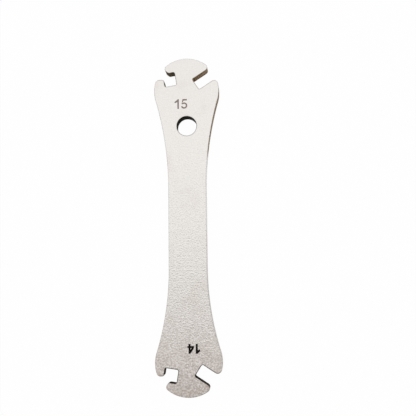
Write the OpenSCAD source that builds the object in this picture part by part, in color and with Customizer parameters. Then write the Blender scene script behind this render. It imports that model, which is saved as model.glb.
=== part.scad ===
// Spoke wrench: one flat steel plate with two nipple slots cut into each rounded end and a
// hole to hang it by. Millimetres. The plate lies on its back face: its middle is over the
// origin, +Y points to the small end and +Z is up through the thickness.

/* [Plate] */
// Length over both tips
overall_length = 90; // [80:1:120]
// Width over the rounded ends
end_width = 17.5; // [15:0.25:22]
// Thickness of the plate
plate_thickness = 3.5; // [2:0.1:6]
// Width of the straight waist
waist_width = 10.1; // [8:0.1:14]

/* [Hang hole] */
// Diameter of the hole
hang_hole_diameter = 5.3; // [3:0.1:8]
// Distance from the tip of the small end to the middle of the hole
hang_hole_from_tip = 18.7; // [17:0.1:30]

/* [Slots of both ends] */
// Angle of the open jaw, up from square across the plate
jaw_angle = 33; // [28:0.5:40]
// Distance along the jaw from the middle of the plate to the closed end of the jaw
jaw_floor = 3; // [2.6:0.05:3.6]
// Distance from the middle of the plate to the neck's side at the floor of the square slot
neck_side = 2.65; // [2.3:0.05:2.9]
// Tilt of the square slot
square_tilt = 9; // [4:1:16]
// Angle between the square slot and the cut under the nose of the head
nose_angle = 46; // [35:1:55]
// Radius at the ends of the prongs
prong_radius = 1.1; // [0.5:0.05:1.3]
// Radius at the two ends of the head
head_radius = 0.95; // [0.4:0.05:1.1]
// Radius of the corners at the mouth of the square slot
mouth_radius = 0.55; // [0.2:0.05:0.8]
// Radius in the inside corners
inner_radius = 0.4; // [0.1:0.05:0.6]

/* [Small end] */
// Width across the flats of the open jaw
small_jaw_width = 3.45; // [3.2:0.05:4]
// How far above the centre of the end's round the jaw's middle line crosses the plate's
small_jaw_rise = -0.1; // [-0.6:0.05:0.6]
// Width across the flats of the square slot
small_square_width = 3.2; // [3:0.05:3.8]
// Length of the square slot along the neck
small_square_length = 3.65; // [3.2:0.05:4.2]
// Distance from the tip to the floor of the square slot at the neck
small_square_depth = 7.25; // [6.5:0.05:8]
// How far the head reaches over the square slot
small_lip = 1.65; // [1.4:0.05:2.1]
// Height of the prong beside the square slot above the slot's floor
small_prong_height = 2.05; // [1.4:0.05:2.6]
// Radius of the hollow flanks between the waist and the shoulders
small_flank_radius = 86; // [50:1:120]
// Straight length of the shoulders
small_shoulder = 0.3; // [0:0.1:4]

/* [Large end] */
// Width across the flats of the open jaw
large_jaw_width = 3.65; // [3.2:0.05:4]
// How far above the centre of the end's round the jaw's middle line crosses the plate's
large_jaw_rise = 0.25; // [-0.6:0.05:0.6]
// Width across the flats of the square slot
large_square_width = 3.5; // [3:0.05:3.8]
// Length of the square slot along the neck
large_square_length = 3.6; // [3.2:0.05:4.2]
// Distance from the tip to the floor of the square slot at the neck
large_square_depth = 7; // [6.5:0.05:8]
// How far the head reaches over the square slot
large_lip = 1.9; // [1.4:0.05:2.1]
// Height of the prong beside the square slot above the slot's floor
large_prong_height = 2.15; // [1.4:0.05:2.6]
// Radius of the hollow flanks between the waist and the shoulders
large_flank_radius = 73; // [50:1:120]
// Straight length of the shoulders
large_shoulder = 0; // [0:0.1:4]

/* [Hidden] */
// How far a cut runs past the surface that it opens
through = 1;
// Largest share of an edge's length that the radius of its corner on the round takes
outer_share = 0.6;
// The same for the corner at its other end
inner_share = 0.35;
// Largest gap between a curve and the short straight edges that draw it
curve_gap = 0.003;
// Points closer than this are one point
same_point = 0.001;

end_radius = end_width / 2;
half_waist = waist_width / 2;
half_length = overall_length / 2;
// Centre of the round of an end
round_centre = [0, half_length - end_radius];

// The sizes of the two ends, as pairs
SMALL = 0;
LARGE = 1;
jaw_width = [small_jaw_width, large_jaw_width];
jaw_rise = [small_jaw_rise, large_jaw_rise];
square_width = [small_square_width, large_square_width];
square_length = [small_square_length, large_square_length];
square_depth = [small_square_depth, large_square_depth];
lip = [small_lip, large_lip];
prong_height = [small_prong_height, large_prong_height];
flank_radius = [small_flank_radius, large_flank_radius];
shoulder = [small_shoulder, large_shoulder];

function polar(radius, angle) = radius * [cos(angle), sin(angle)];

// Points along an arc from one direction to another
function arc(centre, radius, from, to) =
    let (
        step = 2 * acos(1 - curve_gap / radius),
        count = max(1, ceil(abs(to - from) / step))
    )
    [for (i = [0 : count]) centre + polar(radius, from + (to - from) * i / count)];

// Rounded corner between two straight edges, given by their directions. The plate is on the
// left of its outline, so a left turn stands out and a right turn is an inside corner.
function corner(point, from, to, radius) =
    let (
        side = sign(to - from),
        centre = point + polar(radius / cos((to - from) / 2), (from + to) / 2 + 90 * side)
    )
    arc(centre, radius, from - 90 * side, to - 90 * side);

// Centre of the rounded corner between the round of the end and a straight edge through a
// point: ahead is 1 where the edge runs out to the round, and -1 where it comes in from it
function rim_corner(point, direction, radius, ahead) =
    let (
        left = polar(1, direction + 90),
        aside = radius - (round_centre - point) * left,
        along = sqrt(pow(end_radius - radius, 2) - pow(aside, 2))
    )
    round_centre + aside * left + ahead * polar(along, direction);

// Length of a straight edge from a point out to the round
function rim_run(point, direction) =
    let (
        along = (point - round_centre) * polar(1, direction),
        aside = (point - round_centre) * polar(1, direction + 90)
    )
    sqrt(pow(end_radius, 2) - pow(aside, 2)) - along;

// Direction of a point from the centre of the round
function rim_angle(point) = atan2(point.y - round_centre.y, point.x - round_centre.x);

// Outline of the half of the plate that ends at +Y, from the right of the waist to its left
function half_outline(end) =
    let (
        // The flank touches the side of the waist and the round of the shoulder
        shoulder_centre = round_centre - [0, shoulder[end]],
        flank_out = flank_radius[end] + half_waist,
        flank_turn = acos(flank_out / (flank_radius[end] + end_radius)),
        flank_centre = shoulder_centre + [flank_out, -flank_out * tan(flank_turn)],
        // Open jaw on the right
        jaw_start = round_centre + [0, jaw_rise[end]],
        jaw_half = polar(jaw_width[end] / 2, jaw_angle + 90),
        jaw_end = jaw_start + polar(jaw_floor, jaw_angle),
        right_prong = rim_corner(jaw_start - jaw_half, jaw_angle + 180, prong_radius, -1),
        right_tip = rim_corner(jaw_start + jaw_half, jaw_angle, head_radius, 1),
        // Square slot on the left, and the mouth between its prong and the head
        heel = [-neck_side, half_length - square_depth[end]],
        foot = heel - polar(square_width[end], square_tilt),
        throat = heel + polar(square_length[end], square_tilt + 90),
        lip_end = throat - polar(lip[end], square_tilt),
        prong_end = foot + polar(prong_height[end], square_tilt + 90),
        prong_edge = rim_run(prong_end, 180),
        left_radius = min(prong_radius, outer_share * prong_edge),
        inner_tip_radius = min(mouth_radius, inner_share * prong_edge),
        nose_direction = square_tilt - nose_angle,
        nose_edge = rim_run(lip_end, nose_direction + 180),
        nose_radius = min(head_radius, outer_share * nose_edge),
        lip_radius = min(mouth_radius, inner_share * nose_edge),
        nose = rim_corner(lip_end, nose_direction, nose_radius, -1),
        left_prong = rim_corner(prong_end, 180, left_radius, 1)
    )
    concat(
        arc(flank_centre, flank_radius[end], 180, 180 - flank_turn),
        arc(shoulder_centre, end_radius, -flank_turn, 0),
        arc(round_centre, end_radius, 0, rim_angle(right_prong)),
        arc(right_prong, prong_radius, rim_angle(right_prong), jaw_angle + 90),
        corner(jaw_end - jaw_half, jaw_angle + 180, jaw_angle + 90, inner_radius),
        corner(jaw_end + jaw_half, jaw_angle + 90, jaw_angle, inner_radius),
        arc(right_tip, head_radius, jaw_angle - 90, rim_angle(right_tip)),
        arc(round_centre, end_radius, rim_angle(right_tip), 90),
        arc(round_centre, end_radius, 90, rim_angle(nose)),
        arc(nose, nose_radius, rim_angle(nose), nose_direction + 270),
        corner(lip_end, nose_direction, square_tilt, lip_radius),
        corner(throat, square_tilt, square_tilt - 90, inner_radius),
        corner(heel, square_tilt - 90, square_tilt - 180, inner_radius),
        corner(foot, square_tilt - 180, square_tilt - 270, inner_radius),
        corner(prong_end, square_tilt + 90, 180, inner_tip_radius),
        arc(left_prong, left_radius, 90, rim_angle(left_prong)),
        arc(round_centre, end_radius, rim_angle(left_prong), 180),
        arc(shoulder_centre, end_radius, 180, 180 + flank_turn),
        arc([-flank_centre.x, flank_centre.y], flank_radius[end], flank_turn, 0)
    );

// The same points in the other order, turned over to the end at -Y
function turned_over(path) =
    [for (i = [len(path) - 1 : -1 : 0]) [path[i].x, -path[i].y]];

// A closed path without points that repeat the one before
function distinct(path) =
    [for (i = [0 : len(path) - 1])
        if (norm(path[i] - path[(i + len(path) - 1) % len(path)]) > same_point) path[i]];

module wrench_plate() {
    outline = distinct(concat(half_outline(SMALL), turned_over(half_outline(LARGE))));
    color([0.80, 0.79, 0.77])
        difference() {
            linear_extrude(plate_thickness)
                polygon(outline);
            translate([0, half_length - hang_hole_from_tip, -through])
                cylinder(h = plate_thickness + 2 * through, d = hang_hole_diameter, $fn = 96);
        }
}

wrench_plate();
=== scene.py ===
# Spoke wrench: a flat steel plate with nipple slots in both ends and a size number by each end.
# Metres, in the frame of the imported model: the plate lies on z = 0, its small end towards +Y.
import math

import bmesh
import bpy
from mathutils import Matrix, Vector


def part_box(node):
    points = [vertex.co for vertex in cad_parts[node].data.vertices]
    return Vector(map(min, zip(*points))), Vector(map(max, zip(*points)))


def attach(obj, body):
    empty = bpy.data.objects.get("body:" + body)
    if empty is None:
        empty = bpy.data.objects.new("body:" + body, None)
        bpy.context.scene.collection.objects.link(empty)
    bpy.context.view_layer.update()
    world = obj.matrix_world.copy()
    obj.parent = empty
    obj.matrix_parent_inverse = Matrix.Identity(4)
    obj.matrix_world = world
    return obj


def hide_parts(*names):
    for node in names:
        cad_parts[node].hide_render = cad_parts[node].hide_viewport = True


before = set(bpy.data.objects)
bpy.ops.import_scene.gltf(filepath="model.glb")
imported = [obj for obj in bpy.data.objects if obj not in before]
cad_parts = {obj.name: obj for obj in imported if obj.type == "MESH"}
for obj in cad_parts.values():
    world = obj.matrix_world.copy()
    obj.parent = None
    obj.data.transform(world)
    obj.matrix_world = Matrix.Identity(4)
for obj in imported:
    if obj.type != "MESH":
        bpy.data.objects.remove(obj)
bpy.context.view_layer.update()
scene = bpy.context.scene
scene.view_settings.view_transform = "Standard"

# Camera: above the plate, a little to its right and towards its large end, so that the cut
# walls of the slots show. The lens takes in the whole length.
camera_data = bpy.data.cameras.new("camera")
camera_data.sensor_width = 36
camera_data.lens = 57.657
camera_data.clip_start = 0.01
camera = bpy.data.objects.new("camera", camera_data)
camera.location = (0.0164378, -0.0166030, 0.1782106)
camera.rotation_euler = (0.11617, 0.06400, -0.01219)
scene.collection.objects.link(camera)
scene.camera = camera

# Size numbers: a plain 15 by the small end and 14 by the large end, each upright when its own end
# points up. A laser cuts their strokes a little way into the top face. The figures are drawn in
# cap heights, from the left end of their base line, and the width of a stroke is one too.
number_depth = 0.00006
small_stroke, large_stroke = 0.15, 0.215
small_height, large_height = 0.00267, 0.00255
small_base, large_base = 0.03107, -0.03134
small_lefts, large_lefts = (-0.00323, -0.00136), (-0.00299, -0.00143)


def one(stroke):
    """Outlines of the figure 1: a stem with a flag and no foot."""
    right = 0.44
    left = right - stroke
    return [[
        (right, 0), (right, 1), (left + 0.04, 1), (left - 0.07, 0.89), (left - 0.17, 0.81),
        (0, 0.745), (0, 0.745 - stroke), (left - 0.11, 0.80 - stroke), (left, 0.875 - stroke),
        (left, 0),
    ]]


def four(stroke):
    """Outlines of the figure 4: a stem, a bar and a slope, round a closed counter."""
    wide, bar, stem = 0.68, 0.225, 0.565
    left, top = stem - stroke, bar + 0.9 * stroke
    slope = 1.12 * stroke
    return [
        [(left, 0), (stem, 0), (stem, bar), (wide, bar), (wide, top), (stem, top), (stem, 1),
         (left + 0.02, 1), (0, top + 0.02), (0, bar), (left, bar)],
        [(slope, top), (left, top + 1.45 * (left - slope)), (left, top)],
    ]


def five(stroke):
    """Outlines of the figure 5: a bar, a slanted stem and an open bowl, in one stroke."""
    right, across, up, outer = 0.56, 0.27, 0.325, 0.325
    turns = [math.radians(angle) for angle in range(128, -172, -10)]

    def bowl(radius):
        return [(across + radius * math.cos(a), up + radius * math.sin(a)) for a in turns]

    return [[
        (right, 1 - stroke), (right, 1), (0.11, 1), (0.02, 0.47),
        *bowl(outer - stroke), *bowl(outer)[::-1], (0.09 + stroke, 1 - stroke),
    ]]


def on_plate(figures, lefts, height, base, way=1):
    """Outlines of figures with their left ends along a base line; way is -1 for upside down."""
    return [[(way * (left + x * height), base + way * y * height) for x, y in outline]
            for figure, left in zip(figures, lefts) for outline in figure]


def outline_object(name, outlines):
    """A curve object of closed outlines in the XY plane."""
    curve = bpy.data.curves.new(name, "CURVE")
    curve.dimensions = "3D"
    for outline in outlines:
        spline = curve.splines.new("POLY")
        spline.points.add(len(outline) - 1)
        spline.use_cyclic_u = True
        for point, (x, y) in zip(spline.points, outline):
            point.co = (x, y, 0, 1)
    made = bpy.data.objects.new(name, curve)
    scene.collection.objects.link(made)
    return made


small_number = on_plate([one(small_stroke), five(small_stroke)], small_lefts,
                        small_height, small_base)
large_number = on_plate([one(large_stroke), four(large_stroke)], large_lefts,
                        large_height, large_base, way=-1)
numbers = outline_object("numbers", small_number + large_number)

# Plate: a blank of steel sheet, laser cut to its outline with the hang hole, then blasted with
# grit, which greys the faces and rounds the cut edges. It is the whole wrench, so nothing is
# fixed to it.
plate_low, plate_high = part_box("wrench_plate")
end_radius = plate_high.x
round_y = plate_high.y - end_radius
hole_y, hole_radius = 0.0263, 0.00265
edge_radius, edge_steps = 0.00012, 8
edge_band, tint_and_shade_band = 0.00003, 0.00012
dent_size, dent_relief, grain_relief = 0.00039, 0.000035, 0.14
grains_per_dent, painted_glints_from = 4.3, 0.93
spot_size, cloud_size, stain_size = 0.00042, 0.0015, 0.006
ragged_size, ragged_reach = 0.003, 0.016
streak_size, streak_stretch = 0.00035, 0.06
same_point, weld_gap = 1e-7, 5e-7


def face_outlines(cad_node):
    """The closed outlines of a node's top face, with the steel on their left."""
    merged = bmesh.new()
    merged.from_mesh(cad_node.data)
    bmesh.ops.remove_doubles(merged, verts=merged.verts, dist=same_point)

    def on_top(face):
        return face.normal.z > 0.9

    ahead = {corner.vert: corner.link_loop_next.vert
             for face in merged.faces if on_top(face)
             for corner in face.loops if not on_top(corner.link_loop_radial_next.face)}
    outlines = []
    while ahead:
        point, outline = next(iter(ahead)), []
        while point in ahead:
            outline.append(tuple(point.co.xy))
            point = ahead.pop(point)
        outlines.append(outline)
    merged.free()
    return outlines


def add(tree, kind, inputs=(), **settings):
    """A new node with its settings, and its inputs set to values or linked to other sockets."""
    made = tree.nodes.new(kind)
    for name, value in settings.items():
        setattr(made, name, value)
    for name, value in dict(inputs).items():
        for part in value if isinstance(value, list) else [value]:
            if isinstance(part, bpy.types.NodeSocket):
                tree.links.new(part, made.inputs[name])
            else:
                made.inputs[name].default_value = part
    return made


def reckoned(tree, operation, first, *others):
    """A sum worked out over values one after another, or on the first alone."""
    for other in others or (0.0,):
        first = add(tree, "ShaderNodeMath", {0: first, 1: other}, operation=operation).outputs[0]
    return first


def plate_tree():
    """Geometry nodes that sweep a rounded edge along the outline and fill the faces within it."""
    tree = bpy.data.node_groups.new("plate_from_outline", "GeometryNodeTree")
    tree.is_modifier = True
    for name, kind in (
        ("Outline", "Geometry"), ("Numbers", "Object"), ("Number Depth", "Float"),
        ("Thickness", "Float"), ("Edge Radius", "Float"), ("Edge Band", "Float"),
        ("Tint And Shade Band", "Float"), ("Edge Steps", "Int"), ("Steel", "Material"),
    ):
        tree.interface.new_socket(name, in_out="INPUT", socket_type="NodeSocket" + kind)
    tree.interface.new_socket("Plate", in_out="OUTPUT", socket_type="NodeSocketGeometry")
    size = add(tree, "NodeGroupInput").outputs
    position = add(tree, "GeometryNodeInputPosition").outputs[0]
    apart = add(tree, "ShaderNodeSeparateXYZ", {0: position}).outputs

    def place(x=0.0, y=0.0, z=0.0):
        return add(tree, "ShaderNodeCombineXYZ", {"X": x, "Y": y, "Z": z}).outputs[0]

    # Edge profile: in along the face, round the edge and half way down the wall. Along a curve,
    # a profile's x points out of the steel and its y points down.
    inset = reckoned(tree, "SUBTRACT", 0.0, size["Edge Radius"], size["Edge Band"])
    tint_and_shade_inset = reckoned(tree, "SUBTRACT", inset, size["Tint And Shade Band"])
    half_wall = reckoned(tree, "MULTIPLY", size["Thickness"], 0.5)
    line = add(tree, "GeometryNodeCurvePrimitiveLine")
    four_points = add(tree, "GeometryNodeResampleCurve", {"Curve": line.outputs[0], "Count": 4})
    spot = add(tree, "GeometryNodeIndexSwitch", data_type="VECTOR")
    spot.index_switch_items.new()
    spot.index_switch_items.new()
    tree.links.new(add(tree, "GeometryNodeInputIndex").outputs[0], spot.inputs["Index"])
    for number, point in enumerate(
            (place(x=tint_and_shade_inset), place(x=inset), place(), place(y=half_wall))):
        tree.links.new(point, spot.inputs[str(number)])
    corner = add(tree, "GeometryNodeSetPosition",
                 {"Geometry": four_points.outputs[0], "Position": spot.outputs[0]})
    rounded = add(tree, "GeometryNodeFilletCurve",
                  {"Curve": corner.outputs[0], "Count": size["Edge Steps"],
                   "Radius": size["Edge Radius"], "Limit Radius": True}, mode="POLY")

    # How near the wall each point is, from 0 on the face to 1, for the heat tint along the cuts
    # and the painted shade of the rounded edge
    near = add(tree, "ShaderNodeMapRange",
               {"Value": apart["X"], "From Min": tint_and_shade_inset, "From Max": 0.0})
    profile = add(tree, "GeometryNodeStoreNamedAttribute",
                  {"Geometry": rounded.outputs[0], "Name": "near_wall", "Value": near.outputs[0]},
                  data_type="FLOAT", domain="POINT")

    # Rim: the profile swept along the outline
    level = add(tree, "GeometryNodeSetCurveNormal", {"Curve": size["Outline"]}, mode="Z_UP")
    swept = add(tree, "GeometryNodeCurveToMesh",
                {"Curve": level.outputs[0], "Profile Curve": profile.outputs[0]})
    rim = add(tree, "GeometryNodeSetShadeSmooth",
              {"Geometry": swept.outputs[0], "Shade Smooth": True}).outputs[0]

    # Faces: filled from the rim's inner edge, the top one with the numbers cut out
    high = add(tree, "FunctionNodeCompare",
               {"A": apart["Z"], "B": reckoned(tree, "MULTIPLY", half_wall, -0.5)},
               operation="GREATER_THAN")
    faces = add(tree, "GeometryNodeInputMeshEdgeNeighbors").outputs["Face Count"]
    lone = add(tree, "FunctionNodeCompare", {2: faces, 3: 1}, data_type="INT", operation="EQUAL")
    inner = add(tree, "FunctionNodeBooleanMath",
                {0: high.outputs[0], 1: lone.outputs[0]}, operation="AND")
    border = add(tree, "GeometryNodeMeshToCurve",
                 {"Mesh": rim, "Selection": inner.outputs[0]}).outputs[0]
    figures = add(tree, "GeometryNodeObjectInfo", {"Object": size["Numbers"]}).outputs["Geometry"]

    def filled(*curves):
        joined = add(tree, "GeometryNodeJoinGeometry", {0: list(curves)[::-1]})
        flat = add(tree, "GeometryNodeFillCurve", {"Curve": joined.outputs[0]})
        return add(tree, "GeometryNodeSetShadeSmooth",
                   {"Geometry": flat.outputs[0], "Shade Smooth": False}).outputs[0]

    # Number strokes: walls down from the top face, and a floor
    sunk = place(z=reckoned(tree, "MULTIPLY", size["Number Depth"], -1))
    drop = add(tree, "GeometryNodeCurvePrimitiveLine",
               {"Start": place(y=size["Number Depth"]), "End": place()})
    upright = add(tree, "GeometryNodeSetCurveNormal", {"Curve": figures}, mode="Z_UP")
    walls = add(tree, "GeometryNodeCurveToMesh",
                {"Curve": upright.outputs[0], "Profile Curve": drop.outputs[0]})
    stroke_walls = add(tree, "GeometryNodeSetShadeSmooth",
                       {"Geometry": walls.outputs[0], "Shade Smooth": False}).outputs[0]
    stroke_floor = add(tree, "GeometryNodeTransform",
                       {"Geometry": filled(figures), "Translation": sunk}).outputs[0]

    # Both halves: the upper one raised to the top, the lower one turned over, and welded
    top = add(tree, "GeometryNodeJoinGeometry",
              {0: [rim, filled(border, figures), stroke_walls, stroke_floor]})
    raised = add(tree, "GeometryNodeTransform",
                 {"Geometry": top.outputs[0], "Translation": place(z=size["Thickness"])})
    bottom = add(tree, "GeometryNodeJoinGeometry", {0: [rim, filled(border)]})
    turned = add(tree, "GeometryNodeTransform",
                 {"Geometry": bottom.outputs[0], "Scale": (1, 1, -1)})
    under = add(tree, "GeometryNodeFlipFaces", {"Mesh": turned.outputs[0]})
    whole = add(tree, "GeometryNodeJoinGeometry", {0: [raised.outputs[0], under.outputs[0]]})
    closed = add(tree, "GeometryNodeMergeByDistance",
                 {"Geometry": whole.outputs[0], "Distance": weld_gap})
    real = add(tree, "GeometryNodeRealizeInstances", {"Geometry": closed.outputs[0]})
    coated = add(tree, "GeometryNodeSetMaterial",
                 {"Geometry": real.outputs[0], "Material": size["Steel"]})
    add(tree, "NodeGroupOutput", {"Plate": coated.outputs[0]})
    return tree


def made_by(tree, carrier, name, values):
    """The plain mesh object that a tree makes on a carrier object, which goes away."""
    modifier = carrier.modifiers.new(name, "NODES")
    modifier.node_group = tree
    for socket in tree.interface.items_tree:
        if socket.in_out == "INPUT" and socket.name in values:
            modifier[socket.identifier] = values[socket.name]
    graph = bpy.context.evaluated_depsgraph_get()
    mesh = bpy.data.meshes.new_from_object(carrier.evaluated_get(graph), depsgraph=graph)
    bpy.data.objects.remove(carrier)
    made = bpy.data.objects.new(name, mesh)
    scene.collection.objects.link(made)
    return made


def mixed(tree, share, first, second):
    """A colour between two others."""
    made = add(tree, "ShaderNodeMix", {0: share, 6: first, 7: second}, data_type="RGBA")
    return made.outputs[2]


def mixed_value(tree, share, first, second):
    """A value between two others."""
    return add(tree, "ShaderNodeMix", {0: share, 2: first, 3: second}).outputs[0]


def ranged(tree, value, low, high, to_low=0.0, to_high=1.0, kind="SMOOTHSTEP"):
    """A value brought from one range to another and held within it."""
    return add(tree, "ShaderNodeMapRange",
               {"Value": value, "From Min": low, "From Max": high, "To Min": to_low,
                "To Max": to_high}, interpolation_type=kind).outputs[0]


def speckle(tree, place, scale, detail):
    """Noise as a value round one half; its scale is about how many patches go in a metre."""
    return add(tree, "ShaderNodeTexNoise",
               {"Vector": place, "Scale": scale, "Detail": detail}).outputs[0]


def grit_group():
    """What blasting with grit does: dents of one size and a finer grain, and cells for a few
    painted glints.
    """
    group = bpy.data.node_groups.new("grit_marks", "ShaderNodeTree")
    group.interface.new_socket("Dent Size", in_out="INPUT", socket_type="NodeSocketFloat")
    for name in ("Dents", "Grain", "Painted Glints"):
        group.interface.new_socket(name, in_out="OUTPUT", socket_type="NodeSocketFloat")
    size = add(group, "NodeGroupInput").outputs["Dent Size"]
    place = add(group, "ShaderNodeTexCoord").outputs["Object"]
    scale = reckoned(group, "DIVIDE", 1.0, size)
    finer = reckoned(group, "MULTIPLY", scale, grains_per_dent)
    dents = speckle(group, place, scale, 1.0)
    grain = speckle(group, place, finer, 2.0)
    cells = add(group, "ShaderNodeTexVoronoi", {"Vector": place, "Scale": scale})
    lot = add(group, "ShaderNodeSeparateColor", {"Color": cells.outputs["Color"]}).outputs[0]
    add(group, "NodeGroupOutput",
        {"Dents": ranged(group, dents, 0.25, 0.75, kind="LINEAR"),
         "Grain": ranged(group, grain, 0.25, 0.75, kind="LINEAR"),
         "Painted Glints": ranged(group, lot, painted_glints_from, 1.0)})
    return group


def steel_material(grit):
    """Blasted steel, with laser scale on the walls that the grit doesn't reach."""
    material = bpy.data.materials.new("blasted_steel")
    material.use_nodes = True
    tree = material.node_tree
    shader = tree.nodes["Principled BSDF"]
    place = add(tree, "ShaderNodeTexCoord").outputs["Object"]
    x, y, z = add(tree, "ShaderNodeSeparateXYZ", {0: place}).outputs
    from_middle = reckoned(tree, "ABSOLUTE", y)

    def away_from(axis_y, along):
        """Distance from an upright axis on the plate's middle line, at a place along it."""
        across = add(tree, "ShaderNodeCombineXYZ",
                     {"X": x, "Y": reckoned(tree, "SUBTRACT", along, axis_y)})
        return add(tree, "ShaderNodeVectorMath", {0: across.outputs[0]},
                   operation="LENGTH").outputs["Value"]

    def patches(size, detail):
        return speckle(tree, place, 1 / size, detail)

    from_round = away_from(round_y, from_middle)
    from_hole = away_from(hole_y, y)

    # Faces: grey, with dents that are deepest along the waist, and painted glints on a few grains
    marks = add(tree, "ShaderNodeGroup", node_tree=grit)
    marks.inputs["Dent Size"].default_value = dent_size
    dents, grain, painted_glint_cells = (marks.outputs[name] for name in ("Dents", "Grain", "Painted Glints"))
    depth = ranged(tree, from_middle, 0.014, 0.041, 1.0, 0.42)
    # Painted highlight: a few grains painted near white, standing in for glints of light on the
    # steel
    painted_glint = ranged(tree, painted_glint_cells, 0, 1, 0, 0.12)
    dented = mixed(tree, dents, (0.707, 0.683, 0.660, 1), (0.757, 0.734, 0.711, 1))
    bare = mixed(tree, depth, (0.702, 0.680, 0.659, 1), dented)
    bare = mixed(tree, painted_glint, bare, (0.88, 0.87, 0.85, 1))

    # Stains: yellow and then brown spots towards the large end, a few faint patches all over, and
    # clouds where heat has yellowed the rim of the large end's head
    spots = ranged(tree, patches(spot_size, 4.0), 0.3, 0.7)
    yellow = mixed(tree, spots, (0.683, 0.653, 0.617, 1), (0.775, 0.744, 0.703, 1))
    brown = mixed(tree, spots, (0.564, 0.490, 0.448, 1), (0.926, 0.867, 0.832, 1))
    faint, heated = (0.60, 0.53, 0.47, 1), (0.66, 0.54, 0.42, 1)
    yellowed = ranged(tree, y, 0.012, -0.022, 0.10, 0.70)
    browned = ranged(tree, y, -0.016, -0.044)
    stained = ranged(tree, patches(stain_size, 5.0), 0.52, 0.75, 0, 0.25)
    near_rim = ranged(tree, from_round, 0.0050, 0.0085)
    on_large_head = ranged(tree, y, -0.034, -0.041)
    clouds = ranged(tree, patches(cloud_size, 3.0), 0.35, 0.65, 0, 0.3)
    clouded = reckoned(tree, "MULTIPLY", near_rim, on_large_head, clouds)
    for share, colour in (
        (yellowed, yellow), (browned, brown), (stained, faint), (clouded, heated),
    ):
        bare = mixed(tree, share, bare, colour)

    # Cuts: the slots, which lie within the round of an end, and the hole. Each is deep in the
    # plate as far as the head, which starts nearer the middle on its right.
    in_slot = ranged(tree, from_round, end_radius - 0.0001, end_radius - 0.0008)
    in_hole = ranged(tree, from_hole, hole_radius + 0.0010, hole_radius + 0.0004)
    in_cut = reckoned(tree, "MAXIMUM", in_slot, in_hole)
    head_from = ranged(tree, x, -0.001, 0.001, 0.0414, 0.0401)
    short_of_head = reckoned(tree, "SUBTRACT", head_from, from_middle)
    deep_in = reckoned(tree, "MULTIPLY", in_cut, ranged(tree, short_of_head, 0.0, 0.0010))

    # Walls: from the top edge right down to the back face. Deep in a cut, the scale starts over
    # the edge and not under it.
    down = reckoned(tree, "SUBTRACT", plate_high.z, z)
    over_edge = ranged(tree, down, 0.02 * edge_radius, 0.10 * edge_radius)
    under_edge = ranged(tree, down, 0.15 * edge_radius, 0.70 * edge_radius)
    over_back = ranged(tree, z, 0.0, 0.30 * edge_radius)
    from_top = mixed_value(tree, deep_in, under_edge, over_edge)
    on_wall = reckoned(tree, "MULTIPLY", from_top, over_back)

    # Scale stays where the grit doesn't reach: in the cuts, round the small end down to a ragged
    # line, and a little of it on the right towards the large end
    ragged = reckoned(tree, "MULTIPLY", patches(ragged_size, 4.0), ragged_reach)
    by_small_end = ranged(tree, reckoned(tree, "ADD", y, ragged), 0.021, 0.031)
    low_right = reckoned(tree, "MULTIPLY", ranged(tree, x, 0.0, 0.004),
                         ranged(tree, y, 0.006, -0.022, 0.0, 0.22))
    hidden = reckoned(tree, "MAXIMUM", in_cut, by_small_end, low_right)
    scaled = reckoned(tree, "MULTIPLY", on_wall, hidden)

    # Its colour: in upright streaks, paler half way down, painted a lighter brown on the right of
    # the small end as if lit from that side, and painted shade, near black, in the hole and deeper
    # in the slots of the large end
    stretched = add(tree, "ShaderNodeMapping",
                    {"Vector": place, "Scale": (1, 1, streak_stretch)}).outputs[0]
    streaks = speckle(tree, stretched, 1 / streak_size, 3.0)
    half_way = reckoned(tree, "SUBTRACT", z, 0.5 * plate_high.z)
    paler = ranged(tree, reckoned(tree, "ABSOLUTE", half_way), 0.0003, 0.0013, 0.10, -0.07)
    streaked = ranged(tree, reckoned(tree, "ADD", streaks, paler), 0.3, 0.7)
    thick = mixed(tree, streaked, (0.075, 0.060, 0.034, 1), (0.150, 0.125, 0.080, 1))
    # Painted light: a lighter brown for the walls on the right of the small end, as if lit from the
    # right
    painted_lit_scale = mixed(tree, streaked, (0.260, 0.175, 0.100, 1), (0.480, 0.350, 0.225, 1))
    # Painted shade: near black for the walls in the hole and deep in the slots of the large end,
    # where little light gets in
    painted_slot_shade, painted_hole_shade = (0.016, 0.011, 0.005, 1), (0.012, 0.014, 0.004, 1)
    painted_light_on_right = reckoned(tree, "MULTIPLY", ranged(tree, x, -0.008, 0.004),
                        ranged(tree, y, 0.0, 0.02))
    painted_slot_shade_share = reckoned(tree, "MULTIPLY", in_slot, ranged(tree, y, 0.0, -0.027),
                         ranged(tree, from_round, 0.0085, 0.0060, 0.35, 0.9))
    scale = thick
    for share, colour in ((painted_light_on_right, painted_lit_scale), (painted_slot_shade_share, painted_slot_shade), (in_hole, painted_hole_shade)):
        scale = mixed(tree, share, scale, colour)

    # Heat tint and painted shade: a thin dark line on the face along the deep cuts, darker at the
    # large end, a weaker one along the rim of the large end's head, and the weakest along the other
    # edges. It is partly heat tint and partly painted shade of the rounded edge.
    tint_and_edge_shade_brown, weakest = (0.16, 0.13, 0.10, 1), 0.1
    near_wall = add(tree, "ShaderNodeAttribute", attribute_name="near_wall").outputs["Fac"]
    low_rim = reckoned(tree, "MULTIPLY", ranged(tree, y, -0.037, -0.041),
                       ranged(tree, x, 0.0, 0.006, 0.2, 0.4),
                       reckoned(tree, "SUBTRACT", 1.0, in_cut))
    # Painted shade, with some heat tint: the face is darkened by the rounded edge where it would
    # fall into shade
    tint_and_edge_shade = reckoned(tree, "MULTIPLY", ranged(tree, near_wall, 0.0, 0.45),
                    reckoned(tree, "MAXIMUM", deep_in, low_rim, weakest),
                    ranged(tree, y, -0.03, 0.02, 1.0, 0.26))
    bare = mixed(tree, tint_and_edge_shade, bare, tint_and_edge_shade_brown)

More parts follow.
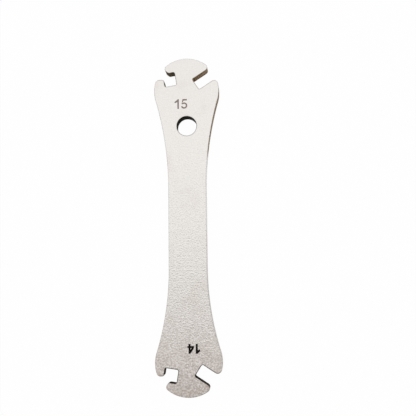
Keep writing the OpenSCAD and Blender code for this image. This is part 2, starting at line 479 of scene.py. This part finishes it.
    # Finish: bare steel is metal with dents and grain, and scale is matt with its streaks
    scale_roughness = 0.7
    polish = ranged(tree, dents, 0, 1, 0.33, 0.29)
    pitted = reckoned(tree, "ADD", reckoned(tree, "MULTIPLY", dents, depth),
                      reckoned(tree, "MULTIPLY", grain, grain_relief))
    height = mixed_value(tree, on_wall, pitted, streaks)
    relief = add(tree, "ShaderNodeBump", {"Height": height, "Distance": dent_relief})
    for name, socket in (
        ("Base Color", mixed(tree, scaled, bare, scale)),
        ("Metallic", reckoned(tree, "SUBTRACT", 1.0, scaled)),
        ("Roughness", mixed_value(tree, scaled, polish, scale_roughness)),
        ("Normal", relief.outputs[0]),
    ):
        tree.links.new(socket, shader.inputs[name])
    shader.inputs["Specular IOR Level"].default_value = 0.02
    return material


grit = grit_group()
plate = made_by(
    plate_tree(),
    outline_object("outline", face_outlines(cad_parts["wrench_plate"])),
    "plate",
    {"Numbers": numbers, "Number Depth": number_depth, "Thickness": plate_high.z - plate_low.z,
     "Edge Radius": edge_radius, "Edge Band": edge_band, "Tint And Shade Band": tint_and_shade_band,
     "Edge Steps": edge_steps, "Steel": steel_material(grit)},
)
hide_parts("wrench_plate")
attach(plate, "root")
bpy.data.objects.remove(numbers)

# Burnt strokes: what the laser leaves at the bottom of the numbers' strokes, a thin layer of
# scale. It is black by the large end; by the small end it is painted brown, a painted sheen for the
# reflection that washes over that end.
number_film = 0.00002
burnt_spot = 0.00020
# Painted sheen: the small end's strokes are painted brown, where the reflection washes the black
# layer paler
burnt_with_painted_sheen = (0.27, 0.20, 0.178, 1), (0.41, 0.335, 0.305, 1)
burnt_black = (0.003, 0.0025, 0.001, 1), (0.012, 0.009, 0.005, 1)


def film_tree():
    """Geometry nodes that fill outlines and give the filling a thickness."""
    tree = bpy.data.node_groups.new("film_in_outlines", "GeometryNodeTree")
    tree.is_modifier = True
    for name, kind in (("Outlines", "Geometry"), ("Height", "Float"), ("Film", "Float"),
                       ("Scale Layer", "Material")):
        tree.interface.new_socket(name, in_out="INPUT", socket_type="NodeSocket" + kind)
    tree.interface.new_socket("Strokes", in_out="OUTPUT", socket_type="NodeSocketGeometry")
    size = add(tree, "NodeGroupInput").outputs
    flat = add(tree, "GeometryNodeFillCurve", {"Curve": size["Outlines"]}).outputs[0]
    up = add(tree, "GeometryNodeExtrudeMesh",
             {"Mesh": flat, "Offset": (0, 0, 1), "Offset Scale": size["Film"],
              "Individual": False})
    under = add(tree, "GeometryNodeFlipFaces", {"Mesh": flat})
    both = add(tree, "GeometryNodeJoinGeometry", {0: [up.outputs["Mesh"], under.outputs[0]]})
    closed = add(tree, "GeometryNodeMergeByDistance",
                 {"Geometry": both.outputs[0], "Distance": weld_gap})
    lift = add(tree, "ShaderNodeCombineXYZ", {"Z": size["Height"]}).outputs[0]
    raised = add(tree, "GeometryNodeTransform",
                 {"Geometry": closed.outputs[0], "Translation": lift})
    flat_shaded = add(tree, "GeometryNodeSetShadeSmooth",
                      {"Geometry": raised.outputs[0], "Shade Smooth": False})
    real = add(tree, "GeometryNodeRealizeInstances", {"Geometry": flat_shaded.outputs[0]})
    coated = add(tree, "GeometryNodeSetMaterial",
                 {"Geometry": real.outputs[0], "Material": size["Scale Layer"]})
    add(tree, "NodeGroupOutput", {"Strokes": coated.outputs[0]})
    return tree


def burnt_material(name, grit, dark, pale):
    """A burnt layer that lets some steel through in spots."""
    material = bpy.data.materials.new(name)
    material.use_nodes = True
    tree = material.node_tree
    shader = tree.nodes["Principled BSDF"]
    marks = add(tree, "ShaderNodeGroup", node_tree=grit)
    marks.inputs["Dent Size"].default_value = burnt_spot
    spots = marks.outputs["Dents"]
    tree.links.new(mixed(tree, spots, dark, pale), shader.inputs["Base Color"])
    tree.links.new(ranged(tree, spots, 0, 1, 0.8, 0.6), shader.inputs["Roughness"])
    shader.inputs["Specular IOR Level"].default_value = 0.1
    return material


film = film_tree()
for name, outlines, (dark, pale) in (
    ("burnt_15", small_number, burnt_with_painted_sheen), ("burnt_14", large_number, burnt_black),
):
    burnt = made_by(
        film, outline_object(name + "_outlines", outlines), name,
        {"Height": plate_high.z - number_depth, "Film": number_film,
         "Scale Layer": burnt_material(name, grit, dark, pale)},
    )
    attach(burnt, "root")

# Floor: a plain white table top under the plate, with a low border far out behind it. The camera
# and reflections see it almost white, and the rest of its colour keeps the plate's shadow.
floor_reach = 2.0
floor_top, border_top = -0.00001, 0.36
white_share = 0.98
floor_mesh = bpy.data.meshes.new("floor")
floor_mesh.from_pydata(
    [(x * floor_reach, y * floor_reach, z) for z in (floor_top, border_top)
     for x, y in ((-1, -1), (1, -1), (1, 1), (-1, 1))],
    [], [(0, 1, 2, 3), (1, 0, 4, 5), (2, 1, 5, 6), (3, 2, 6, 7), (0, 3, 7, 4)])
floor = bpy.data.objects.new("floor", floor_mesh)
scene.collection.objects.link(floor)
white = bpy.data.materials.new("white_table")
white.use_nodes = True
table_nodes = white.node_tree
matt = table_nodes.nodes["Principled BSDF"]
matt.inputs["Base Color"].default_value = (0.9, 0.9, 0.9, 1)
matt.inputs["Roughness"].default_value = 0.9
bright = add(table_nodes, "ShaderNodeEmission", {"Color": (1, 1, 1, 1), "Strength": 1.0})
ray = add(table_nodes, "ShaderNodeLightPath").outputs
seen = reckoned(table_nodes, "MAXIMUM", ray["Is Camera Ray"], ray["Is Glossy Ray"],
                ray["Is Transmission Ray"])
table_top = add(table_nodes, "ShaderNodeMixShader",
                {0: reckoned(table_nodes, "MULTIPLY", seen, white_share),
                 1: matt.outputs[0], 2: bright.outputs[0]})
table_nodes.links.new(table_top.outputs[0],
                      table_nodes.nodes["Material Output"].inputs["Surface"])
floor_mesh.materials.append(white)

# Light: one large soft lamp over the small end, which the blasted steel mirrors softly towards the
# camera, so that the plate darkens away from it, and an even white room round it.
lamp_brightness, room_brightness = 0.78, 0.45
lamp_data = bpy.data.lights.new("soft_lamp", "AREA")
lamp_data.shape = "RECTANGLE"
lamp_data.size = 0.80
lamp_data.size_y = 0.66
lamp_data.energy = lamp_brightness * math.pi * lamp_data.size * lamp_data.size_y
lamp = bpy.data.objects.new("soft_lamp", lamp_data)
lamp.location = (-0.04, 0.255, 0.50)
scene.collection.objects.link(lamp)
room = bpy.data.worlds.new("room")
room.use_nodes = True
background = room.node_tree.nodes["Background"]
background.inputs["Color"].default_value = (1, 1, 1, 1)
background.inputs["Strength"].default_value = room_brightness
scene.world = room
